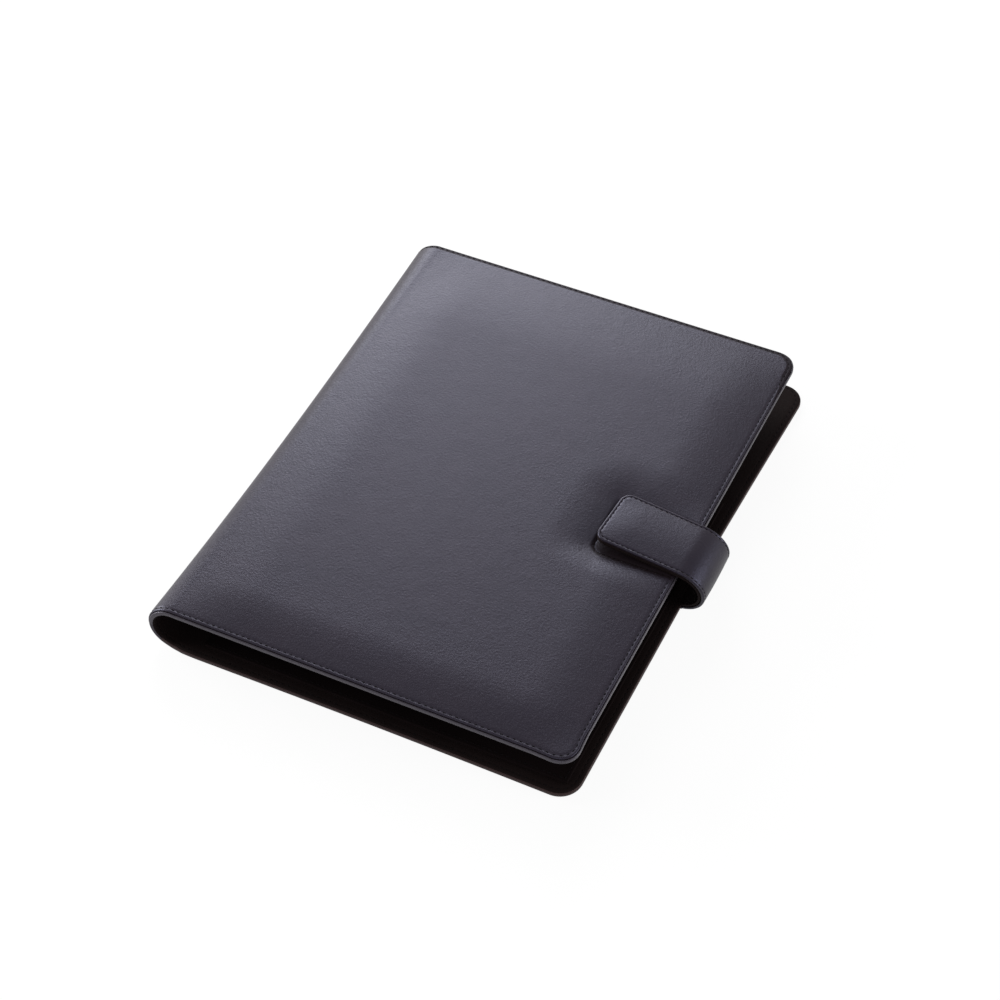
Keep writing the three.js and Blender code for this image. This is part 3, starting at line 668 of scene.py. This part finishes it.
# The lip's edge colour follows the light: painted highlight on the front and the spine's high piece, painted shade
# on the spine's low piece, and a brownish painted highlight on the back
inset, depth, _, _ = face_means(lining)
painted_lip = (inset < PAINTED_LIP_WIDTH) & (depth < PAINTED_LIP_HEIGHT)
painted_back_lip = (inset < PAINTED_LIP_WIDTH) & (depth < PAINTED_BACK_LIP_HEIGHT)
linings = split(lining, "lining", LINING_LEATHER, SPINE,
                [(EDGE_BROWN_PAINTED_HIGHLIGHT, painted_back_lip), (EDGE_PAINTED_SHADE, painted_lip), (EDGE_PAINTED_HIGHLIGHT, painted_lip), (EDGE_PAINTED_HIGHLIGHT, painted_lip)])
bend(enumerate(linings), SPINE)
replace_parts(linings[0], "back_lining", "spine_lining_1")
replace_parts(linings[1], "spine_lining_2")
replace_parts(linings[2], "spine_lining_3")
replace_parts(linings[3], "front_lining")


# --- The strap ---

def strap_edge(outer, inner):
    """A strap layer's edge, rounded at its outer side, between two depths."""
    rounding, run = 0.8, 4.95
    face = [(0.25, inner), (0.05, inner - 0.12), (0.0, inner - 0.35), (0.0, outer + rounding)]
    for a in (math.pi / 6, math.pi / 3, math.pi / 2):
        face.append((rounding * (1 - math.cos(a)), outer + rounding * (1 - math.sin(a))))
    face += [(i, outer) for i in (1.05, 1.3, 1.55, 1.75, 1.95, 2.2, 2.6, 3.3, 4.2, 5.2)]
    left = len(face) - 1
    under = [(0.25, inner)] + [(0.25 + run * (k + 1) / left, inner) for k in range(left)]
    return Edge(face, under, STRAP_TIP_CORNER)


def root_edge(outer, inner):
    """The strap's square end, in the thickness of the back cover."""
    face = [(0.0, inner), (0.0, outer + 0.3), (0.1, outer + 0.08), (0.3, outer), (0.6, outer)]
    under = [(0.0, inner)] + [(0.15 * (k + 1), inner) for k in range(4)]
    return Edge(face, under, 0.2)


def strap_rise(s, y):
    """The outer layer is a little padded inside its sewn line."""
    side, tip = STRAP_WIDTH / 2 - np.abs(y), STRAP_END - s
    share = STRAP_CROWN_ROOT + (1 - STRAP_CROWN_ROOT) * smooth(s / STRAP_BEND * 2 - 1)
    crown = STRAP_CROWN * share
    for away in (side, tip):
        crown = crown * np.sin(np.clip((away - STRAP_STITCH_INSET) / STRAP_CROWN_RUN, 0, 1) * math.pi / 2)
    in_side, in_tip = np.maximum(STRAP_TIP_CORNER - side, 0), np.maximum(STRAP_TIP_CORNER - tip, 0)
    rounded = STRAP_TIP_CORNER - np.hypot(in_side, in_tip)
    inside = np.where((in_side > 0) & (in_tip > 0), rounded, np.minimum(side, tip))
    return crown - STRAP_GROOVE * np.exp(-((inside - STRAP_STITCH_INSET) / STRAP_GROOVE_WIDTH) ** 2)


def strap_shift(s, y, d):
    """The strap lies a little askew, as in the photo: it leaves towards the tail and turns to the head."""
    share = np.clip(s / STRAP_BEND, 0, 1)
    over = np.maximum(s - STRAP_BEND, 0)
    drift = STRAP_DRIFT[0] - STRAP_DRIFT[1] * smooth(share) + over * STRAP_LEAN
    return s - STRAP_SKEW * y * np.clip(over / STRAP_SKEW_RUN, 0, 1), y + drift, d


strap_s = grid((STRAP_START + 1, STRAP_BEND, 1.3), (STRAP_BEND + 1.5, STRAP_END - 6, 1.5))
strap_s = sorted([s for s in strap_s if all(abs(s - c) > 0.5 for c in STRAP.cuts)] + STRAP.cuts)
strap_y = grid((-STRAP_WIDTH / 2 + 6, STRAP_WIDTH / 2 - 6, 1.5))
# each layer's name, outer and inner depth, the depth that it bends at, its relief and its material
STRAP_LAYERS = (("leather", 0.0, STRAP_LAYER, 1.0, strap_rise, STRAP_LEATHER),
                ("lining", STRAP_LAYER + FIT, STRAP_DEPTH, 3.0, None, LINING_LEATHER))
for kind, outer, inner, bend_depth, rise, material in STRAP_LAYERS:
    edges = all_round(strap_edge(outer, inner), outer, inner) | {"s_low": root_edge(outer, inner)}
    layer = Slab(strap_path, (STRAP_START, STRAP_END), (-STRAP_WIDTH / 2, STRAP_WIDTH / 2), edges, strap_s, strap_y,
                 rise, strap_shift)
    objects = split(layer, f"strap_{kind}", material, STRAP)
    bend(enumerate(objects), STRAP)
    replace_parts(objects[0], f"strap_root_{kind}", f"strap_{kind}_1")
    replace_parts(objects[1], f"strap_{kind}_2")
    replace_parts(objects[2], f"strap_{kind}_3")
    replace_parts(objects[3], f"strap_tip_{kind}")


# --- Stitches ---

# One stitch, of length 1: rings of (place, radius) that swell between two ends, which dive into the leather
STITCH_RINGS = [(-0.5, 0.0), (-0.44, 0.6), (-0.3, 1.0), (0.0, 1.08), (0.3, 1.0), (0.44, 0.6), (0.5, 0.0)]
STITCH_SIDES = 6
STITCH_DIVE = 1.2


def stitches(name, places, length):
    """One mesh of stitches. places are rows of (point, along, out)."""
    radius = THREAD / 2
    turns = [2 * math.pi * k / STITCH_SIDES for k in range(STITCH_SIDES)]
    points, faces = [], []
    for p, along, out in places:
        across = np.cross(out, along)
        base = len(points)
        for x, r in STITCH_RINGS:
            drop = -STITCH_DIVE * radius * (abs(x) * 2) ** 3
            if r == 0:
                points.append(p + along * x * length + out * drop)
                continue
            for a in turns:
                points.append(p + along * x * length + out * (drop + radius * r * math.sin(a)) +
                              across * radius * r * math.cos(a))
        first, last = base + 1, len(points) - 1
        ring = last - STITCH_SIDES
        for k in range(STITCH_SIDES):
            faces.append((base, first + (k + 1) % STITCH_SIDES, first + k))
        for start in range(first, ring, STITCH_SIDES):
            for k in range(STITCH_SIDES):
                a, b = start + k, start + (k + 1) % STITCH_SIDES
                faces.append((a, b, b + STITCH_SIDES, a + STITCH_SIDES))
        for k in range(STITCH_SIDES):
            faces.append((last, ring + k, ring + (k + 1) % STITCH_SIDES))
    return mesh_object(name, np.array(points), faces, THREAD_BLACK)


def resample(line, pitch):
    """Places along a line at an even pitch near the one given, the unit direction at each, and the pitch."""
    line = np.array(line, float)
    step = np.linalg.norm(np.diff(line, axis=0), axis=1)
    total = step.sum()
    n = max(1, round(total / pitch))
    at = (np.arange(n) + 0.5) * total / n
    along = np.concatenate([[0], np.cumsum(step)])
    here, ahead, behind = (
        np.stack([np.interp(at + off, along, line[:, k]) for k in range(line.shape[1])], -1)
        for off in (0, 0.4, -0.4))
    direction = ahead - behind
    return here, direction / np.linalg.norm(direction, axis=1, keepdims=True), total / n


def stitch_places(path, line, pitch, surface, side, shift):
    """Where the stitches lie along a line of flat (s, y) places, on a surface given as depth(s, y). side is -1
    where the surface looks inwards. Also gives each stitch's s, and their pitch."""
    at, direction, step = resample(line, pitch)

    def lay(off):
        s, y = (at + direction * off).T
        s, y, d = shift(s, y, surface(s, y))
        p, n = path(s)
        q = p - n * d[:, None]
        return np.stack([q[:, 0], y, q[:, 1]], -1), np.stack([n[:, 0], np.zeros(len(s)), n[:, 1]], -1)

    (here, normal), (ahead, _), (behind, _) = (lay(off) for off in (0, 0.5, -0.5))
    along = ahead - behind
    along /= np.linalg.norm(along, axis=1, keepdims=True)
    places = []
    for p, a, n in zip(here, along, normal * side):
        n = n - a * (n @ a)
        places.append((p, a, n / np.linalg.norm(n)))
    return places, at[:, 0], step


def arc(s, y, r, start, way=1, steps=8):
    """Flat places on a quarter circle. start is in half turns, and way is 1 or -1."""
    turns = [(start + way * k / (2 * steps)) * math.pi for k in range(steps + 1)]
    return [(s + r * math.cos(a), y + r * math.sin(a)) for a in turns]


def sew(name, turned, line, pitch, surface, side, shift):
    """Stitches in the leather of a fold, split where its pieces are."""
    places, at, step = stitch_places(turned.path, line, pitch, surface, side, shift)
    for k, piece, start, end in piece_spans(turned):
        lot = [row for row, s in zip(places, at) if start < s <= end]
        if lot:
            obj = stitches(f"{name}{piece}", lot, step * STITCH_SHARE)
            bend([(k, obj)], turned)


# round the whole wrap, outside and inside
r = CORNER - STITCH_INSET
y_side = LENGTH / 2 - STITCH_INSET - r
s_low, s_high = S_BACK + STITCH_INSET + r, S_FRONT - STITCH_INSET - r
sewn = (arc(s_high, -y_side, r, -0.5, steps=12) + arc(s_high, y_side, r, 0, steps=12) +
        arc(s_low, y_side, r, 0.5, steps=12) + arc(s_low, -y_side, r, 1, steps=12))
sewn.append(sewn[0])
sew("stitches_outside", SPINE, sewn, STITCH_PITCH, lambda s, y: -wrap_rise(s, y), 1.0, wrap_shift)
sew("stitches_inside", SPINE, sewn, STITCH_PITCH, lambda s, y: COVER_DEPTH - lining_rise(s, y), -1.0, wrap_shift)

# round the bed, open to the fore-edge
s_low = S_TOP + X_FRONT - BED_LENGTH - X_GUTTER + BED_CORNER
bed_line = [(S_FRONT - STITCH_INSET, BED_LOW)]
bed_line += arc(s_low, BED_LOW + BED_CORNER, BED_CORNER, 1.5, -1)
bed_line += arc(s_low, BED_HIGH - BED_CORNER, BED_CORNER, 1.0, -1)
bed_line.append((S_FRONT - STITCH_INSET, BED_HIGH))
places, _, step = stitch_places(wrap_path, bed_line, STRAP_STITCH_PITCH, lambda s, y: -wrap_rise(s, y), 1.0,
                                wrap_shift)
bed_stitches = stitches("stitches_bed", places, step * STITCH_SHARE)
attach(bed_stitches, "front_cover")

# along both sides of the strap and round its tip
r = STRAP_TIP_CORNER - STRAP_STITCH_INSET
s_low, s_high, half = STRAP_START + 1.5, STRAP_END - STRAP_TIP_CORNER, STRAP_WIDTH / 2
strap_line = [(s_low, -half + STRAP_STITCH_INSET)]
strap_line += arc(s_high, -half + STRAP_TIP_CORNER, r, -0.5) + arc(s_high, half - STRAP_TIP_CORNER, r, 0)
strap_line.append((s_low, half - STRAP_STITCH_INSET))
sew("stitches_strap", STRAP, strap_line, STRAP_STITCH_PITCH, lambda s, y: -strap_rise(s, y), 1.0, strap_shift)
sew("stitches_strap_inside", STRAP, strap_line, STRAP_STITCH_PITCH, lambda s, y: np.full(len(s), STRAP_DEPTH), -1.0,
    strap_shift)


# --- Pockets and the pen loop ---

# Grid of a pocket's sheet, as shares of its sides, and how far the rim's rows lie under its face
POCKET_STEPS = 28
POCKET_GRID = [0.0, 0.0, 0.0008, 0.0022, *np.linspace(0.006, 0.994, POCKET_STEPS), 0.9978, 0.9992, 1.0, 1.0]
POCKET_RIM = [POCKET_SHEET, 0.45, 0.12, 0.02]
POCKET_DROPS = POCKET_RIM + [0.0] * POCKET_STEPS + POCKET_RIM[::-1]


def pocket_sheet(name, corners, z, up, bulge, body):
    """A thin leather sheet with rounded edges, its outline given by four corners, slightly bellied."""
    (ax, ay), (bx, by), (cx, cy), (dx, dy) = corners
    n = len(POCKET_GRID)
    top = np.zeros((n, n, 3))
    for i, u in enumerate(POCKET_GRID):
        for j, v in enumerate(POCKET_GRID):
            x = (ax * (1 - u) + bx * u) * (1 - v) + (dx * (1 - u) + cx * u) * v
            y = (ay * (1 - u) + by * u) * (1 - v) + (dy * (1 - u) + cy * u) * v
            # the belly keeps part of its height to the open end
            belly = bulge * math.sin(math.pi * u) * (1 - (2 * v - 1) ** 2 * 0.6) * (1 if v < 0.97 else 0.9)
            drop = max(POCKET_DROPS[i], POCKET_DROPS[j])
            top[i, j] = (x, y, z + up * (POCKET_SHEET - drop + (belly if drop == 0 else 0)))
    under = top.copy()
    under[..., 2] = z
    idx = np.arange(n * n).reshape(n, n)
    low = idx + n * n
    low[0, :], low[-1, :], low[:, 0], low[:, -1] = idx[0, :], idx[-1, :], idx[:, 0], idx[:, -1]
    faces_top = np.stack([idx[:-1, :-1], idx[1:, :-1], idx[1:, 1:], idx[:-1, 1:]], -1).reshape(-1, 4)
    faces_low = np.stack([low[:-1, :-1], low[:-1, 1:], low[1:, 1:], low[1:, :-1]], -1).reshape(-1, 4)
    points = np.concatenate([top.reshape(-1, 3), under.reshape(-1, 3)])
    used, index = np.unique(np.concatenate([faces_top, faces_low]), return_inverse=True)
    faces = index.reshape(-1, 4)
    obj = mesh_object(name, points[used], faces[:, ::-1] if up < 0 else faces, POCKET_LEATHER)
    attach(obj, body)
    return obj


def pocket(name, body, up, bulge, short_side=None):
    """A pocket's sheet, and the stitches along its three sewn sides. up is -1 where it hangs under the front."""
    lo, hi = (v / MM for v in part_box(name))
    z = lo.z if up > 0 else hi.z
    corners = [(lo.x, lo.y), (hi.x, lo.y), (hi.x, hi.y),
               (lo.x, hi.y if short_side is None else lo.y + short_side)]
    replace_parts(pocket_sheet(name + "_sheet", corners, z, up, bulge, body), name)
    centre = np.array(corners).mean(0)
    a, b, c, d = (tuple(np.array(v) + np.sign(centre - np.array(v)) * POCKET_STITCH_INSET) for v in corners)
    line = [(d[0], corners[3][1]), a, b, (c[0], corners[2][1])]
    at, direction, step = resample(line, POCKET_STITCH_PITCH)
    places = [(np.array([x, y, z + up * POCKET_SHEET]), np.array([dx, dy, 0.0]), np.array([0, 0, up]))
              for (x, y), (dx, dy) in zip(at, direction)]
    obj = stitches(name + "_stitches", places, step * POCKET_STITCH_SHARE)
    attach(obj, body)


pocket("pad_pocket", "back_cover", 1.0, 0.15)
pocket("document_pocket", "front_cover", -1.0, 0.1, DOCUMENT_SHORT_SIDE)
for k in (1, 2, 3):
    pocket(f"card_pocket_{k}", "front_cover", -1.0, 0.05)


def pen_loop():
    """An elastic band round the place for a pen, open beside its foot, with fine ribs round it."""
    lo, hi = (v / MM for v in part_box("pen_loop"))
    rings, around, rib, rim = 41, 72, 0.06, 0.25
    cx, cz = lo.x + PEN_LOOP_RADIUS, lo.z + PEN_LOOP_RADIUS
    turns = np.linspace(-math.pi / 2, 1.5 * math.pi - 0.5, around)
    points, faces = [], []
    for k, y in enumerate(np.linspace(lo.y, hi.y, rings)):
        edge_ = rim if k in (0, rings - 1) else 0.0
        outer = rib * math.cos(k * math.pi) - edge_ - rib
        for out in (outer, -(PEN_LOOP_SHEET - edge_)):
            for a in turns:
                nx, nz = math.cos(a), math.sin(a)
                points.append((cx + PEN_LOOP_RADIUS * nx + nx * out, y, cz + PEN_LOOP_RADIUS * nz + nz * out))
    ring = 2 * around
    for k in range(rings - 1):
        for j in range(around - 1):
            a = k * ring + j
            b = a + around
            faces += [(a, a + 1, a + ring + 1, a + ring), (b, b + ring, b + ring + 1, b + 1)]
        a, b = k * ring, k * ring + around - 1
        faces += [(a, a + ring, a + ring + around, a + around), (b + around, b + ring + around, b + ring, b)]
    for j in range(around - 1):
        faces.append((j, j + around, j + around + 1, j + 1))
    for j in range((rings - 1) * ring, (rings - 1) * ring + around - 1):
        faces.append((j + 1, j + around + 1, j + around, j))
    obj = mesh_object("pen_loop_band", np.array(points), faces, ELASTIC)
    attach(obj, "back_cover")
    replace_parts(obj, "pen_loop")


pen_loop()


# --- Inner pieces that the CAD model already shapes ---

for name, material in (("back_board", BOARD), ("front_board", BOARD), ("front_magnet", STEEL),
                       ("strap_keeper", STEEL)):
    obj = frame["nodes"][name]
    obj.data.materials.clear()
    obj.data.materials.append(material)


# --- Floor, lights and camera ---

# Azimuth, elevation and roll in degrees, and the focal length as a share of the sensor's width
CAMERA_ANGLES = (26.407, 47.629, 1.098)
CAMERA_DISTANCE = 1378.6
CAMERA_TARGET = (-6.449, 12.103, 0.0)
CAMERA_FOCUS = 2.3965
SENSOR_WIDTH = 36.0
FLOOR_SIZE = 8.0
FLOOR_WHITE = 0.92
WORLD_LIGHT = 0.25
# Each lamp's name, place, target and size in metres, and its power
LAMPS = (("key", (-0.75, 1.15, 0.65), (-0.05, 0.05, 0), (0.8, 0.6), 12.8),
         ("key_high", (-0.55, 0.95, 0.72), (-0.05, 0.05, 0), (0.8, 0.6), 7.2),
         ("far_left", (-1.2, 1.2, 0.35), (0, 0, 0), (0.8, 0.5), 4.5),
         ("left", (-1.3, -0.1, 0.35), (0, 0, 0), (0.8, 0.5), 28),
         ("right", (1.3, 0.2, 0.4), (0, 0, 0), (0.8, 0.5), 13),
         ("front", (0.3, -1.3, 0.7), (0, 0, 0), (0.8, 0.6), 7))


def background_rays(t):
    """1 for the rays that should meet the white background: those of the camera, gloss and glass."""
    ray = node(t, "ShaderNodeLightPath", -900, 300)
    first = node(t, "ShaderNodeMath", -600, 300)
    second = node(t, "ShaderNodeMath", -400, 300)
    for n in (first, second):
        n.operation = "ADD"
        n.use_clamp = True
    t.links.new(ray.outputs["Is Camera Ray"], first.inputs[0])
    t.links.new(ray.outputs["Is Glossy Ray"], first.inputs[1])
    t.links.new(first.outputs[0], second.inputs[0])
    t.links.new(ray.outputs["Is Transmission Ray"], second.inputs[1])
    return second.outputs[0]


def floor():
    bpy.ops.mesh.primitive_plane_add(size=FLOOR_SIZE, location=(0, 0, 0))
    obj = bpy.context.object
    obj.name = "floor"
    m = bpy.data.materials.new("floor")
    m.use_nodes = True
    t = m.node_tree
    t.nodes.clear()
    out = node(t, "ShaderNodeOutputMaterial", 600, 0)
    mix = node(t, "ShaderNodeMixShader", 300, 0)
    diffuse = node(t, "ShaderNodeBsdfDiffuse", 0, 100, Color=(0.9, 0.9, 0.9, 1))
    glow = node(t, "ShaderNodeEmission", 0, -100, Color=(1, 1, 1, 1), Strength=1.0)
    share = node(t, "ShaderNodeMath", -200, 300)
    share.operation = "MULTIPLY"
    share.inputs[1].default_value = FLOOR_WHITE
    t.links.new(background_rays(t), share.inputs[0])
    t.links.new(share.outputs[0], mix.inputs["Fac"])
    t.links.new(diffuse.outputs[0], mix.inputs[1])
    t.links.new(glow.outputs[0], mix.inputs[2])
    t.links.new(mix.outputs[0], out.inputs[0])
    obj.data.materials.append(m)


def world():
    w = bpy.data.worlds.new("studio")
    bpy.context.scene.world = w
    w.use_nodes = True
    t = w.node_tree
    t.nodes.clear()
    out = node(t, "ShaderNodeOutputWorld", 600, 0)
    mix = node(t, "ShaderNodeMixShader", 300, 0)
    soft = node(t, "ShaderNodeBackground", 0, 100, Color=(1, 1, 1, 1), Strength=WORLD_LIGHT)
    white = node(t, "ShaderNodeBackground", 0, -100, Color=(1, 1, 1, 1), Strength=1.0)
    t.links.new(background_rays(t), mix.inputs["Fac"])
    t.links.new(soft.outputs[0], mix.inputs[1])
    t.links.new(white.outputs[0], mix.inputs[2])
    t.links.new(mix.outputs[0], out.inputs[0])


def area(name, place, aim, size, power):
    """A lamp with a rectangular face, turned to its target."""
    data = bpy.data.lights.new(name, "AREA")
    data.shape = "RECTANGLE"
    data.size, data.size_y = size
    data.energy = power
    obj = bpy.data.objects.new(name, data)
    bpy.context.scene.collection.objects.link(obj)
    obj.location = place
    obj.rotation_euler = (Vector(aim) - Vector(place)).to_track_quat("-Z", "Y").to_euler()


def camera():
    azimuth, elevation, roll = (math.radians(v) for v in CAMERA_ANGLES)
    back = Vector((math.sin(azimuth) * math.cos(elevation), -math.cos(azimuth) * math.cos(elevation),
                   math.sin(elevation)))
    data = bpy.data.cameras.new("camera")
    data.sensor_width = SENSOR_WIDTH
    data.lens = data.sensor_width * CAMERA_FOCUS
    obj = bpy.data.objects.new("camera", data)
    bpy.context.scene.collection.objects.link(obj)
    turn = (-back).to_track_quat("-Z", "Y") @ Quaternion((0, 0, 1), -roll)
    obj.location = Vector(CAMERA_TARGET) * MM + back * CAMERA_DISTANCE * MM
    obj.rotation_euler = turn.to_euler()
    bpy.context.scene.camera = obj


floor()
world()
for lamp in LAMPS:
    area(*lamp)
camera()
bpy.context.scene.view_settings.view_transform = "Standard"
